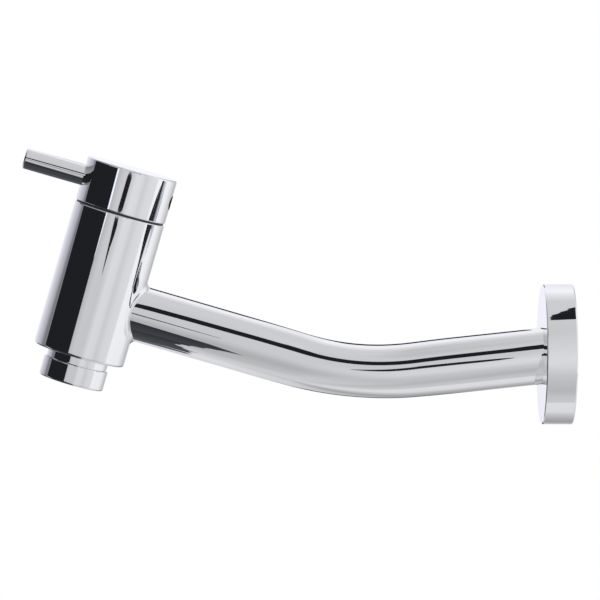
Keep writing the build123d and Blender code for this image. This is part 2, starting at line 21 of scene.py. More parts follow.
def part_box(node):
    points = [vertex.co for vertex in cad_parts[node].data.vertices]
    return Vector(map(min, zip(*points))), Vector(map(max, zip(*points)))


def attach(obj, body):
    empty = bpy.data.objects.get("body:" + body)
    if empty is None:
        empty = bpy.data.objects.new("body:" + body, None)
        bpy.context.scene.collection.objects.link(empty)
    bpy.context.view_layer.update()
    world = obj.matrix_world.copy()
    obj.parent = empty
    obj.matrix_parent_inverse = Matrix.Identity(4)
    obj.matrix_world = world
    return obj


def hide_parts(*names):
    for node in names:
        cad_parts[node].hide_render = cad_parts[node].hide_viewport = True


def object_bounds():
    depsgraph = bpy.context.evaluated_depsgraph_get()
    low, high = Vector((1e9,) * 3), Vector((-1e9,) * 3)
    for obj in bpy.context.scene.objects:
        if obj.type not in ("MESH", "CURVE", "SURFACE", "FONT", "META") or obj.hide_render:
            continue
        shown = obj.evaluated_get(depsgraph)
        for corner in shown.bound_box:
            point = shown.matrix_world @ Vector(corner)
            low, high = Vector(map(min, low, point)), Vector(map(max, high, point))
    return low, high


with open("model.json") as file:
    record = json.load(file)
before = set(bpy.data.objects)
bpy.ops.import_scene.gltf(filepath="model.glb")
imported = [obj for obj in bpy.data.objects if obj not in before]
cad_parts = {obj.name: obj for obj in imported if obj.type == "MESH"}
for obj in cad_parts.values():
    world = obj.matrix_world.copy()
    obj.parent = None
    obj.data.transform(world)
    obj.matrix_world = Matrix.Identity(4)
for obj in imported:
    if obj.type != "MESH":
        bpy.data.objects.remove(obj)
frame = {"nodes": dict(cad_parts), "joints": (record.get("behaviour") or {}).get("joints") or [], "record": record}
cad_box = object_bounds()

MM = 0.001
WELD = 0.0005 * MM
LOG = logging.getLogger("tap")

Sockets = dict[str | int, object]
Stops = tuple[tuple[float, float], ...]
Triple = tuple[float, float, float]
Colour = Triple
Edges = tuple[tuple[Triple, Triple], ...]


class Slot(Enum):
    """Material slots of the record, which the finishes are named after."""

    CHROME = "chrome"
    BRASS = "brass"
    STAINLESS = "stainless"
    RUBBER = "seal_rubber"
    CERAMIC = "ceramic_white"
    DARK_PLASTIC = "dark_plastic"
    PALE_PLASTIC = "pale_plastic"


class Body(Enum):
    """Bodies of the record, which the pieces ride on."""

    TAP = "tap"
    HANDLE = "handle"
    COVER = "cover"


# Node trees


@dataclass(frozen=True)
class Wire:
    """A socket that carries a number or a vector, with arithmetic that adds Math nodes."""

    graph: "Graph"
    socket: NodeSocket

    def math(self, operation: str, *others: "Wire | float") -> "Wire":
        """The result of a Math node that starts from this wire."""
        return self.graph.math(operation, self, *others)

    def vector(self, operation: str, *others: "Wire | tuple[float, ...]") -> "Wire":
        """The result of a Vector Math node that starts from this wire."""
        sockets = dict(enumerate((self, *others)))
        return self.graph.wire("ShaderNodeVectorMath", sockets, operation=operation)

    def scaled(self, share: "Wire | float") -> "Wire":
        """This vector times a number."""
        sockets = {"Vector": self, "Scale": share}
        return self.graph.wire("ShaderNodeVectorMath", sockets, operation="SCALE")

    def part(self, name: str) -> "Wire":
        """One part of this vector, by its letter."""
        return self.graph.wire("ShaderNodeSeparateXYZ", {"Vector": self}, name)

    def __add__(self, other: "Wire | float") -> "Wire":
        """Sum."""
        return self.graph.math("ADD", self, other)

    def __radd__(self, other: float) -> "Wire":
        """Sum, number first."""
        return self.graph.math("ADD", other, self)

    def __sub__(self, other: "Wire | float") -> "Wire":
        """Difference."""
        return self.graph.math("SUBTRACT", self, other)

    def __rsub__(self, other: float) -> "Wire":
        """Difference, number first."""
        return self.graph.math("SUBTRACT", other, self)

    def __mul__(self, other: "Wire | float") -> "Wire":
        """Product."""
        return self.graph.math("MULTIPLY", self, other)

    def __rmul__(self, other: float) -> "Wire":
        """Product, number first."""
        return self.graph.math("MULTIPLY", other, self)

    def __truediv__(self, other: "Wire | float") -> "Wire":
        """Quotient."""
        return self.graph.math("DIVIDE", self, other)


class Graph:
    """A node tree, and the one way in which nodes are added to it."""

    def __init__(self, tree: NodeTree) -> None:
        """Starts on an empty tree of a material, a world or a geometry group."""
        self.tree = tree
        tree.nodes.clear()

    def node(self, kind: str, sockets: Sockets | None = None, **settings: object) -> Node:
        """Adds a node, sets it up and feeds it.

        Args:
            kind: the node's type name.
            sockets: values or wires for the inputs, by identifier, name or number.
            settings: properties that are set first; stops holds a ramp's places and tones.

        Returns:
            The new node.
        """
        made = self.tree.nodes.new(kind)
        for name, value in settings.items():
            if name == "stops":
                self._set_stops(made, value)
            else:
                setattr(made, name, value)
        for key, value in (sockets or {}).items():
            socket = self._pick(made.inputs, key)
            if isinstance(value, Wire):
                self.tree.links.new(value.socket, socket)
            else:
                socket.default_value = value
        return made

    def wire(
        self, kind: str, sockets: Sockets | None = None, output: str | int = 0, **settings: object
    ) -> Wire:
        """One of the outputs of a new node, which is made as node() makes it."""
        made = self.node(kind, sockets, **settings)
        return Wire(self, self._pick(made.outputs, output))

    def math(self, operation: str, *values: Wire | float) -> Wire:
        """The result of a Math node, from its inputs in order."""
        sockets = dict(enumerate(values))
        return self.wire("ShaderNodeMath", sockets, operation=operation)

    def mix(self, factor: Wire, low: Colour, high: Colour) -> Wire:
        """Colour from one linear RGB colour, where the factor is 0, to another, where it's 1."""
        sockets = {"Factor_Float": factor, "A_Color": (*low, 1.0), "B_Color": (*high, 1.0)}
        return self.wire("ShaderNodeMix", sockets, "Result_Color", data_type="RGBA")

    @staticmethod
    def _pick(sockets: Sequence[NodeSocket], key: str | int) -> NodeSocket:
        """An input or an output of a node, by number, identifier or name."""
        if isinstance(key, int):
            return sockets[key]
        by_identifier = [s for s in sockets if s.identifier == key]
        return (by_identifier or [s for s in sockets if s.name == key])[0]

    @staticmethod
    def _set_stops(node: Node, stops: Stops) -> None:
        """Sets a ramp's stops as places and grey tones."""
        ramp = node.color_ramp
        while len(ramp.elements) < len(stops):
            ramp.elements.new(1.0)
        for element, (place, tone) in zip(ramp.elements, stops):
            element.position = place
            element.color = (tone, tone, tone, 1.0)


def new_material(name: str, surface: Callable[[Graph], Wire]) -> Material:
    """Makes a material.

    Args:
        name: the material's name.
        surface: grows the shader in the material's tree.

    Returns:
        The new material.
    """
    made = bpy.data.materials.new(name)
    made.use_nodes = True
    graph = Graph(made.node_tree)
    graph.node("ShaderNodeOutputMaterial", {"Surface": surface(graph)})
    return made


def new_object(name: str, data: ID) -> Object:
    """Adds an object to the scene.

    Args:
        name: the object's name.
        data: its mesh, lamp or camera.

    Returns:
        The object.
    """
    made = bpy.data.objects.new(name, data)
    bpy.context.scene.collection.objects.link(made)
    return made


class Recipe:
    """A Geometry Nodes tree that grows a mesh from named sizes."""

    def __init__(self, name: str, sizes: dict[str, float], material: Material) -> None:
        """Opens the tree, with one input for each size.

        Args:
            name: what the tree makes.
            sizes: the inputs and their values.
            material: what the result is made of.
        """
        self.name = name
        self.values: dict[str, object] = {**sizes, "Material": material}
        tree = bpy.data.node_groups.new(name, "GeometryNodeTree")
        self.graph = Graph(tree)
        kinds = {"Geometry": "Geometry"} | dict.fromkeys(sizes, "Float") | {"Material": "Material"}
        for size, kind in kinds.items():
            tree.interface.new_socket(size, in_out="INPUT", socket_type="NodeSocket" + kind)
        tree.interface.new_socket("Geometry", in_out="OUTPUT", socket_type="NodeSocketGeometry")
        self._inputs = self.graph.node("NodeGroupInput")

    def size(self, name: str) -> Wire:
        """The wire of an input."""
        return Wire(self.graph, self._inputs.outputs[name])

    def geometry(self, kind: str, sockets: Sockets | None = None, **settings: object) -> Wire:
        """First output of a new geometry node, whose type name lacks the common first word."""
        return self.graph.wire("GeometryNode" + kind, sockets, **settings)

    def grow(self, route: list[Vector], result: Wire, placed: Matrix) -> Mesh:
        """Ends the tree, runs it once and keeps the plain mesh.

        Args:
            route: points of the line that the tree starts from.
            result: the geometry that it ends with.
            placed: where the mesh goes in the part's frame.

        Returns:
            The mesh.
        """
        real = self.geometry("RealizeInstances", {"Geometry": result})
        material = {"Geometry": real, "Material": self.size("Material")}
        dressed = self.geometry("SetMaterial", material)
        self.graph.node("NodeGroupOutput", {"Geometry": dressed})
        start = bpy.data.meshes.new(self.name + "_route")
        start.from_pydata(route, [(i, i + 1) for i in range(len(route) - 1)], [])
        carrier = new_object(self.name + "_route", start)
        modifier = carrier.modifiers.new(self.name, "NODES")
        modifier.node_group = self.graph.tree
        for item in self.graph.tree.interface.items_tree:
            if item.in_out == "INPUT" and item.name in self.values:
                modifier[item.identifier] = self.values[item.name]
        evaluated = carrier.evaluated_get(bpy.context.evaluated_depsgraph_get())
        mesh = bpy.data.meshes.new_from_object(evaluated)
        carrier.modifiers.clear()
        bpy.data.objects.remove(carrier)
        mesh.transform(placed)
        return mesh


# Finishes


@dataclass(frozen=True)
class Finish:
    """A surface finish: what every finish shares.

    Args:
        slot: the record's slot, which also names the material.
    """

    slot: Slot

    def material(self) -> Material:
        """The finish as a new material."""
        return new_material(self.slot.value + "_finish", self.shader)

    def shader(self, graph: Graph) -> Wire:
        """The finish's shader in a material's tree."""
        return graph.wire("ShaderNodeBsdfPrincipled", self.surface(graph))

    def surface(self, graph: Graph) -> Sockets:
        """Values and wires of the shader's sockets, which each finish gives."""
        raise NotImplementedError

    @staticmethod
    def place(graph: Graph, turn: float = 0.0) -> Wire:
        """Object coordinates, turned about X so that patterns can follow a leaning piece."""
        spot = graph.wire("ShaderNodeTexCoord", output="Object")
        return graph.wire("ShaderNodeMapping", {"Vector": spot, "Rotation": (turn, 0.0, 0.0)})

    @staticmethod
    def noise(graph: Graph, spot: Wire, grain: float, detail: float = 2.0) -> Wire:
        """Noise from 0 to 1 whose grain is a length in metres."""
        sockets = {"Vector": spot, "Scale": 1.0 / grain, "Detail": detail}
        return graph.wire("ShaderNodeTexNoise", sockets)

    @staticmethod
    def bump(graph: Graph, height: Wire, depth: float) -> Wire:
        """Normal of a relief that is so many metres deep."""
        sockets = {"Height": height, "Distance": depth, "Strength": 1.0}
        return graph.wire("ShaderNodeBump", sockets)


@dataclass(frozen=True)
class PolishedChrome(Finish):
    """Chrome plating on polished brass: a mirror with faint haze and waviness."""

    slot: Slot = Slot.CHROME
    clear_tint: Colour = (0.898, 0.902, 0.932)
    hazy_tint: Colour = (0.870, 0.876, 0.908)
    gloss: float = 0.015
    haze: float = 0.02
    haze_grain: float = 9 * MM
    haze_detail: float = 5.0
    wave_grain: float = 14 * MM
    wave_depth: float = 0.0012 * MM

    def surface(self, graph: Graph) -> Sockets:
        """Mirror colour, haze in the roughness and a shallow wave in the normal."""
        spot = self.place(graph)
        haze = self.noise(graph, spot, self.haze_grain, self.haze_detail)
        wave = self.noise(graph, spot, self.wave_grain)
        return {
            "Base Color": graph.mix(haze, self.clear_tint, self.hazy_tint),
            "Metallic": 1.0,
            "Roughness": self.gloss + self.haze * haze * haze,
            "Normal": self.bump(graph, wave, self.wave_depth),
        }


@dataclass(frozen=True)
class TurnedMetal(Finish):
    """Bare turned metal with fine tool rings along the head's axis and darker patches."""

    slot: Slot = Slot.BRASS
    bright: Colour = (0.80, 0.60, 0.27)
    dull: Colour = (0.58, 0.42, 0.19)
    gloss: float = 0.22
    gloss_spread: float = 0.18
    ring_pitch: float = 0.35 * MM
    ring_depth: float = 0.004 * MM
    patch_grain: float = 3 * MM
    patch_detail: float = 4.0
    lean: float = 0.0

    def surface(self, graph: Graph) -> Sockets:
        """Patchy colour and gloss, tool rings in the normal."""
        spot = self.place(graph, self.lean)
        patch = self.noise(graph, spot, self.patch_grain, self.patch_detail)
        rings = (spot.part("Z") * (2 * math.pi / self.ring_pitch)).math("SINE")
        return {
            "Base Color": graph.mix(patch, self.bright, self.dull),
            "Metallic": 1.0,
            "Roughness": self.gloss + self.gloss_spread * patch,
            "Normal": self.bump(graph, rings * patch, self.ring_depth),
        }


@dataclass(frozen=True)
class Moulded(Finish):
    """Moulded rubber, plastic or pressed ceramic: a matt skin with a fine grain."""

    slot: Slot
    light: Colour
    shade: Colour
    gloss: float
    gloss_spread: float = 0.15
    grain: float = 0.25 * MM
    cloud_grain: float = 3 * MM
    detail: float = 3.0
    relief: float = 0.01 * MM

    def surface(self, graph: Graph) -> Sockets:
        """Two close tones, a fine relief and an uneven gloss."""
        spot = self.place(graph)
        cloud = self.noise(graph, spot, self.cloud_grain, self.detail)
        grain = self.noise(graph, spot, self.grain, self.detail)
        return {
            "Base Color": graph.mix(cloud, self.light, self.shade),
            "Roughness": self.gloss + self.gloss_spread * grain,
            "Normal": self.bump(graph, grain, self.relief),
        }


class Wardrobe:
    """The finishes of the tap, one material each, by slot."""

    def __init__(self, lean: float) -> None:
        """Builds each material once.

        Args:
            lean: turn about X that brings the head's axis upright, in radians.
        """
        finishes: list[Finish] = [
            PolishedChrome(),
            TurnedMetal(lean=lean),
            TurnedMetal(Slot.STAINLESS, (0.60, 0.60, 0.61), (0.42, 0.42, 0.44), 0.25, lean=lean),
            Moulded(Slot.RUBBER, (0.028, 0.028, 0.030), (0.016, 0.016, 0.017), 0.55),
            Moulded(Slot.CERAMIC, (0.86, 0.86, 0.84), (0.80, 0.80, 0.78), 0.16, relief=0.002 * MM),
            Moulded(Slot.DARK_PLASTIC, (0.030, 0.030, 0.033), (0.020, 0.020, 0.022), 0.42),
            Moulded(Slot.PALE_PLASTIC, (0.78, 0.78, 0.75), (0.70, 0.70, 0.67), 0.40),
        ]
        self._materials = {finish.slot: finish.material() for finish in finishes}

    def material(self, slot: Slot) -> Material:
        """The finish of a slot."""
        return self._materials[slot]

    def dress(self, piece: Object, slot: Slot) -> None:
        """Gives a piece its finish.

        Args:
            piece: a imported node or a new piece.
            slot: the finish to give it.
        """
        if not piece.material_slots:
            piece.data.materials.append(None)
        for place in piece.material_slots:
            place.material = self._materials[slot]


# Sub-assemblies


@dataclass(frozen=True)
class Head:
    """The head's place: where its axis meets the arm's centreline, and which way it leans."""

    point: Vector
    up: Vector

    @property
    def out(self) -> Vector:
        """Away from the wall, square to the axis."""
        return Vector((0.0, -self.up.z, self.up.y))

    @property
    def lean(self) -> float:
        """How far the axis leans towards the wall, in radians."""
        return math.atan2(self.up.y, self.up.z)

    def at(self, height: float) -> Matrix:
        """Frame whose Z is the axis, at a height along it."""
        turned = Matrix.Rotation(-self.lean, 4, "X")
        return Matrix.Translation(self.point + self.up * height) @ turned

    def extent(self, node: str) -> Triple:
        """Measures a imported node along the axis.

        Args:
            node: the node's name.

        Returns:
            Its lowest and highest height, and its radius.
        """
        spots = [vertex.co - self.point for vertex in frame["nodes"][node].data.vertices]
        heights = [spot.dot(self.up) for spot in spots]
        radius = max((spot - self.up * spot.dot(self.up)).length for spot in spots)
        return min(heights), max(heights), radius


@dataclass(frozen=True)
class SubAssembly:
    """Pieces of one body that are built and dressed together.

    Args:
        head: the head's place.
        wardrobe: the finishes.
        body: the body that its pieces ride on.
        kept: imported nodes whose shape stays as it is.
    """

    head: Head
    wardrobe: Wardrobe
    body: Body = Body.TAP
    kept: tuple[str, ...] = ()

    def build(self) -> None:
        """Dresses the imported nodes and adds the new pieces."""
        slots = {part["node"]: part["material_slot"] for part in frame["record"]["subparts"]}
        for node in self.kept:
            self.wardrobe.dress(frame["nodes"][node], Slot(slots[node]))
            LOG.info("%s: %s in %s", self.body.value, node, slots[node])
        self.add_pieces()

    def add_pieces(self) -> None:
        """Adds the pieces that are drawn again here; most sub-assemblies have none."""

    def add(self, name: str, mesh: Mesh, slot: Slot, replaced: str) -> None:
        """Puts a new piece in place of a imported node.

        Args:
            name: the piece's name.
            mesh: its shape in the part's frame.
            slot: its finish.
            replaced: the node that it stands for.
        """
        piece = new_object(name, mesh)
        self.wardrobe.dress(piece, slot)
        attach(piece, self.body.value)
        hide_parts(replaced)
        LOG.info("%s: %s, %d faces", self.body.value, name, len(mesh.polygons))


@dataclass(frozen=True)
class Arm(SubAssembly):
    """Bent tube and the socket at its wall end.

    The tube is drawn again, because its flattening runs out further along it than the bend.

    Args:
        outside: the tube's outside diameter.
        wall: its wall.
        bend_radius: of the centreline.
        flattening: height that the bend takes off the tube.
        widening: width that it adds.
        fade: distance from the bend's middle to where the tube is round again.
        socket_front: wall to the face that the tube stands on.
        head_seat: head's axis to the shoulder that the tube's other end stands on.
        steps_along: facets along the tube.
        steps_around: facets around it.
        bend_steps: points of the bend's arc.
        end_share: share of the length that counts as the wall end, which is cut flush.
        sharp: angle in degrees past which an edge looks sharp.
    """

    kept: tuple[str, ...] = ("wall_socket",)
    outside: float = 21.3 * MM
    wall: float = 1.6 * MM
    bend_radius: float = 116 * MM
    flattening: float = 1.0 * MM
    widening: float = 0.5 * MM
    fade: float = 40 * MM
    socket_front: float = 8.6 * MM
    head_seat: float = 12.2 * MM
    steps_along: int = 150
    steps_around: int = 96
    bend_steps: int = 96
    end_share: float = 0.0001
    sharp: float = 40.0

    def add_pieces(self) -> None:
        """Adds the bent tube."""
        low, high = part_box("cover_flange")
        middle = Vector((0.0, (low[1] + high[1]) / 2, 0.0))
        away = Vector(joint("cover_slide")["axis"])
        end = self.head.point - self.head.out * self.head_seat
        corner = self._crossing(middle, away, end)
        start = middle + away * ((-self.socket_front - middle.y) / away.y)
        half_turn = away.angle(self.head.out) / 2
        saved = self.bend_radius * (math.tan(half_turn) - half_turn)
        names = ("outside", "wall", "bend_radius", "flattening", "widening", "fade")
        sizes = {name: getattr(self, name) for name in names}
        sizes |= {"bend_middle": (corner - start).length - saved, "cut": -self.socket_front}
        recipe = Recipe("bent_tube", sizes, self.wardrobe.material(Slot.CHROME))
        mesh = recipe.grow([start, corner, end], self._tube(recipe), Matrix.Identity(4))
        outward(mesh)
        mesh.set_sharp_from_angle(angle=math.radians(self.sharp))
        self.add("arm_tube_bent", mesh, Slot.CHROME, "arm_tube")

    def _tube(self, recipe: Recipe) -> Wire:
        """Draws the tube.

        Args:
            recipe: the tree, which starts from the tube's route.

        Returns:
            The sheet that runs out along the tube's outside and back along its bore.
        """
        add, size, last = recipe.geometry, recipe.size, 2 * self.steps_along + 1
        line = add("MeshToCurve", {"Mesh": size("Geometry")})
        bend = {"Curve": line, "Count": self.bend_steps, "Radius": size("bend_radius")}
        bent = add("FilletCurve", bend, mode="POLY")
        counts = {"Vertices X": last + 2, "Vertices Y": self.steps_around + 1}
        sheet = add("MeshGrid", {"Size X": 1.0, "Size Y": 1.0} | counts)
        spot = add("InputPosition")
        column = ((spot.part("X") + 0.5) * (last + 1)).math("ROUND").math("MODULO", last + 1)
        share = column.math("MINIMUM", last - column) / self.steps_along
        inner = column.math("GREATER_THAN", self.steps_along + 0.5)
        angle = (spot.part("Y") + 0.5) * (2 * math.pi)
        where = {"Curves": bent, "Factor": share}
        sample = recipe.graph.node("GeometryNodeSampleCurve", where, mode="FACTOR")
        centre = Wire(recipe.graph, sample.outputs["Position"])
        along = Wire(recipe.graph, sample.outputs["Tangent"])
        above = along.vector("CROSS_PRODUCT", (1.0, 0.0, 0.0)).vector("NORMALIZE")
        length = add("CurveLength", {"Curve": bent})
        far = (share * length - size("bend_middle")).math("ABSOLUTE") / size("fade")
        near = (far.math("MINIMUM", 1.0) * (math.pi / 2)).math("COSINE").math("POWER", 2.0)
        radius = size("outside") * 0.5 - inner * size("wall")
        half_width = (radius + near * size("widening") * 0.5) * angle.math("COSINE")
        half_height = (radius - near * size("flattening") * 0.5) * angle.math("SINE")
        sideways = recipe.graph.wire("ShaderNodeCombineXYZ", {"X": half_width})
        full = centre.vector("ADD", sideways).vector("ADD", above.scaled(half_height))
        slide = (size("cut") - full.part("Y")) / along.part("Y")
        at_wall = share.math("LESS_THAN", self.end_share)
        cut = full.vector("ADD", along.scaled(slide * at_wall))
        formed = add("SetPosition", {"Geometry": sheet, "Position": cut})
        joined = add("MergeByDistance", {"Geometry": formed, "Distance": WELD})
        return add("SetShadeSmooth", {"Geometry": joined})

    def _crossing(self, middle: Vector, away: Vector, end: Vector) -> Vector:
        """Finds where the tube's two straight centrelines cross.

        Args:
            middle: point on the wall end's line.
            away: direction of that line.
            end: point on the head end's line.

        Returns:
            The crossing.
        """
        out = self.head.out
        across = Vector((0.0, -out.z, out.y))
        return middle + away * ((end - middle).dot(across) / away.dot(across))


@dataclass(frozen=True)
class Casing(SubAssembly):
    """Head casing and what stays in it."""

    kept: tuple[str, ...] = (
        "body_casing", "headwork_body", "headwork_washer", "fixed_disc", "seat_seal", "glide_ring",
    )


@dataclass(frozen=True)
class Handle(SubAssembly):
    """Cap, lever and everything that turns with them."""

    body: Body = Body.HANDLE
    kept: tuple[str, ...] = (
        "handle_cap", "lever_pin", "grub_screw", "spindle", "spindle_clip", "spindle_o_rings",
        "thrust_washer", "moving_disc",
    )


@dataclass(frozen=True)
class Cover(SubAssembly):
    """Flange that slides along the arm, and the rubber ring in it.

    The flange is drawn again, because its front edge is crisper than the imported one.

    Args:
        packed_edge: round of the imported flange's front edge.
        crisp_edge: round of the same edge here.
        slack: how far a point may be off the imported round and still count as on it.
    """

    body: Body = Body.COVER
    kept: tuple[str, ...] = ("flange_o_ring",)
    packed_edge: float = 1.6 * MM
    crisp_edge: float = 0.5 * MM
    slack: float = 0.02 * MM

    def add_pieces(self) -> None:
        """Adds the flange with its crisp edge."""
        packed = frame["nodes"]["cover_flange"].data
        corners = np.empty(len(packed.loops) * 3, dtype=np.float32)
        packed.corner_normals.foreach_get("vector", corners)
        spots = np.empty(len(packed.vertices) * 3)
        packed.vertices.foreach_get("co", spots)
        spots = self._tightened(spots.reshape(-1, 3))
        keys = np.round(spots / WELD).astype(np.int64)
        _, first, same = np.unique(keys, axis=0, return_index=True, return_inverse=True)
        same = same.reshape(-1)
        faces = [tuple(int(same[v]) for v in face.vertices) for face in packed.polygons]
        mesh = bpy.data.meshes.new("cover_flange_crisp")
        mesh.from_pydata([tuple(spot) for spot in spots[first]], [], faces)
        mesh.shade_smooth()
        mesh.normals_split_custom_set([tuple(normal) for normal in corners.reshape(-1, 3)])
        self.add("cover_flange_crisp", mesh, Slot.CHROME, "cover_flange")

    def _tightened(self, spots: np.ndarray) -> np.ndarray:
        """Shrinks the front edge's round towards its corner.

        Args:
            spots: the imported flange's points.

        Returns:
            The moved points.
        """
        low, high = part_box("cover_flange")
        radius, front = high[0], low[1]
        reach = np.hypot(spots[:, 0], spots[:, 2])
        outwards = reach - (radius - self.packed_edge)
        forwards = self.packed_edge - (spots[:, 1] - front)
        off = np.abs(np.hypot(outwards, forwards) - self.packed_edge)
        edge = (off < self.slack) & (outwards > -self.slack) & (forwards > -self.slack)
        share = self.crisp_edge / self.packed_edge
        new_reach = radius - self.crisp_edge + outwards[edge] * share
        moved = spots.copy()
        moved[edge, 0] *= new_reach / reach[edge]
        moved[edge, 2] *= new_reach / reach[edge]
        moved[edge, 1] = front + self.crisp_edge - forwards[edge] * share
        return moved


@dataclass(frozen=True)
class Aerator(SubAssembly):
    """Aerator, whose two wire screens are woven here.

    Args:
        wire: diameter of the screens' wire.
        pitch: from wire to wire.
        rim_width: of the folded rim.
        rim_height: of the folded rim.
        screens: how many lie on each other.
        samples: points of a wire from one crossing to the next.
        wire_sides: sides of a wire's section.
        rim_steps: facets around the rim.
        sharp: angle in degrees past which an edge looks sharp.
    """

    kept: tuple[str, ...] = ("aerator_housing", "aerator_gasket", "aerator_cage", "aerator_grid")
    wire: float = 0.22 * MM
    pitch: float = 0.62 * MM
    rim_width: float = 0.8 * MM
    rim_height: float = 0.7 * MM
    screens: int = 2
    samples: int = 4
    wire_sides: int = 6
    rim_steps: int = 72
    sharp: float = 50.0

    def add_pieces(self) -> None:
        """Adds the woven screens."""
        low, high, radius = self.head.extent("aerator_screens")
        sizes = {"Radius": radius, "Wire": self.wire, "Pitch": self.pitch}
        recipe = Recipe("woven_screens", sizes, self.wardrobe.material(Slot.STAINLESS))
        add = recipe.geometry
        step = (high - low) / self.screens
        places = {"Start Location": (0.0, 0.0, step / 2), "Offset": (0.0, 0.0, step)}
        stack = add("MeshLine", {"Count": self.screens} | places)
        over, under = self._wires(recipe, 1.0), self._wires(recipe, -1.0)
        rim = self._rim(recipe, radius)
        turned = add("Transform", {"Geometry": under, "Rotation": (0.0, 0.0, math.pi / 2)})
        join = recipe.graph.node("GeometryNodeJoinGeometry")
        for part in (over, turned, rim):
            recipe.graph.tree.links.new(part.socket, join.inputs[0])
        screen = Wire(recipe.graph, join.outputs[0])
        pile = add("InstanceOnPoints", {"Points": stack, "Instance": screen})
        smooth = add("SetShadeSmooth", {"Geometry": pile})
        mesh = recipe.grow([Vector(), Vector((0, 0, step))], smooth, self.head.at(low))
        mesh.set_sharp_from_angle(angle=math.radians(self.sharp))
        self.add("aerator_screens_woven", mesh, Slot.STAINLESS, "aerator_screens")

    def _wires(self, recipe: Recipe, side: float) -> Wire:
        """Draws the wires that run one way, over and under the wires that cross them.

        Args:
            recipe: the tree.
            side: 1 for wires that start over, -1 for wires that start under.

        Returns:
            The wires as a mesh.
        """
        add, radius = recipe.geometry, recipe.values["Radius"]
        half = int(radius / self.pitch)
        span = 2 * half * self.pitch
        counts = {"Vertices X": 2 * half + 1, "Vertices Y": 2 * half * self.samples + 1}
        sheet = add("MeshGrid", {"Size X": span, "Size Y": span} | counts)
        ends = recipe.graph.node("GeometryNodeInputMeshEdgeVertices")
        first, second = (Wire(recipe.graph, ends.outputs[f"Position {i}"]) for i in (1, 2))
        gap = first.part("X") - second.part("X")
        crossing = gap.math("ABSOLUTE").math("GREATER_THAN", self.pitch / 2)
        crossed = {"Geometry": sheet, "Selection": crossing}
        lines = add("DeleteGeometry", crossed, domain="EDGE", mode="EDGE_FACE")
        spot = add("InputPosition")
        across, along = (spot.part(n) * math.pi / recipe.size("Pitch") for n in "XY")
        weave = across.math("COSINE") * along.math("COSINE") * recipe.size("Wire") * (side / 2)
        lift = recipe.graph.wire("ShaderNodeCombineXYZ", {"Z": weave})
        woven = add("SetPosition", {"Geometry": lines, "Offset": lift})
        length = recipe.graph.wire(
            "ShaderNodeVectorMath", {"Vector": spot}, "Value", operation="LENGTH"
        )
        outside = length.math("GREATER_THAN", radius - self.rim_width / 2)
        trimmed = add("DeleteGeometry", {"Geometry": woven, "Selection": outside}, domain="POINT")
        curves = add("MeshToCurve", {"Mesh": trimmed})
        section = {"Resolution": self.wire_sides, "Radius": recipe.size("Wire") * 0.5}
        profile = add("CurvePrimitiveCircle", section)
        return add("CurveToMesh", {"Curve": curves, "Profile Curve": profile, "Fill Caps": True})

    def _rim(self, recipe: Recipe, radius: float) -> Wire:
        """Draws the folded metal rim that holds the ends of the wires.

        Args:
            recipe: the tree.
            radius: of the rim's outside.

        Returns:
            The rim as a mesh.
        """
        add = recipe.geometry
        ring = {"Resolution": self.rim_steps, "Radius": radius - self.rim_width / 2}
        circle = add("CurvePrimitiveCircle", ring)
        section = {"Width": self.rim_width, "Height": self.rim_height}
        profile = add("CurvePrimitiveQuadrilateral", section)
        return add("CurveToMesh", {"Curve": circle, "Profile Curve": profile})


def outward(mesh: Mesh) -> None:
    """Turns every face of a closed mesh outwards."""
    shape = bmesh.new()
    shape.from_mesh(mesh)
    bmesh.ops.recalc_face_normals(shape, faces=shape.faces)
    shape.to_mesh(mesh)
    shape.free()


def joint(name: str) -> dict[str, object]:
    """A packed joint, by its name."""
    return next(entry for entry in frame["joints"] if entry["name"] == name)


# Studio

CARD_DISTANCE = 0.60
CARD_GAP = 0.01
STAND_DISTANCE = 0.88
STRIP_DISTANCE = 0.33
BLACK_CLOTH = 0.015


class Aim(Enum):
    """What a card stands around."""

    TAP = "tap"
    HEAD = "head"


def leaning_direction(azimuth: float, elevation: float, lean: float) -> Vector:
    """Unit vector of a direction, in degrees, in a frame that leans about X.

    Args:
        azimuth: from +X towards +Y.
        elevation: above the frame's own level.
        lean: how far the frame's Z axis is tipped towards +Y, in radians.

    Returns:
        The direction in the part's frame.
    """
    around, above = math.radians(azimuth), math.radians(elevation)
    level = math.cos(above)
    flat = Vector((level * math.cos(around), level * math.sin(around), math.sin(above)))
    return Matrix.Rotation(-lean, 3, "X") @ flat


def mirror_only(name: str, mesh: Mesh) -> Object:
    """Adds an object that only mirrors see.

    Args:
        name: the object's name.
        mesh: its shape.

    Returns:
        The object.
    """
    made = new_object(name, mesh)
    for ray in ("camera", "diffuse", "shadow", "transmission", "volume_scatter"):
        setattr(made, "visible_" + ray, False)
    return made


def edges(*ends: tuple[float, ...]) -> Edges:
    """Edges of a card, one after the other across it.

    Args:
        ends: azimuth and elevation of one end and of the other, in degrees, and the brightness
            at both, where 1 is white; an edge without brightness is black cloth.

    Returns:
        Each edge as two corners of azimuth, elevation and brightness.
    """
    full = [end if len(end) > 4 else (*end, BLACK_CLOTH, BLACK_CLOTH) for end in ends]
    return tuple(((a, b, tone), (c, d, other)) for a, b, c, d, tone, other in full)


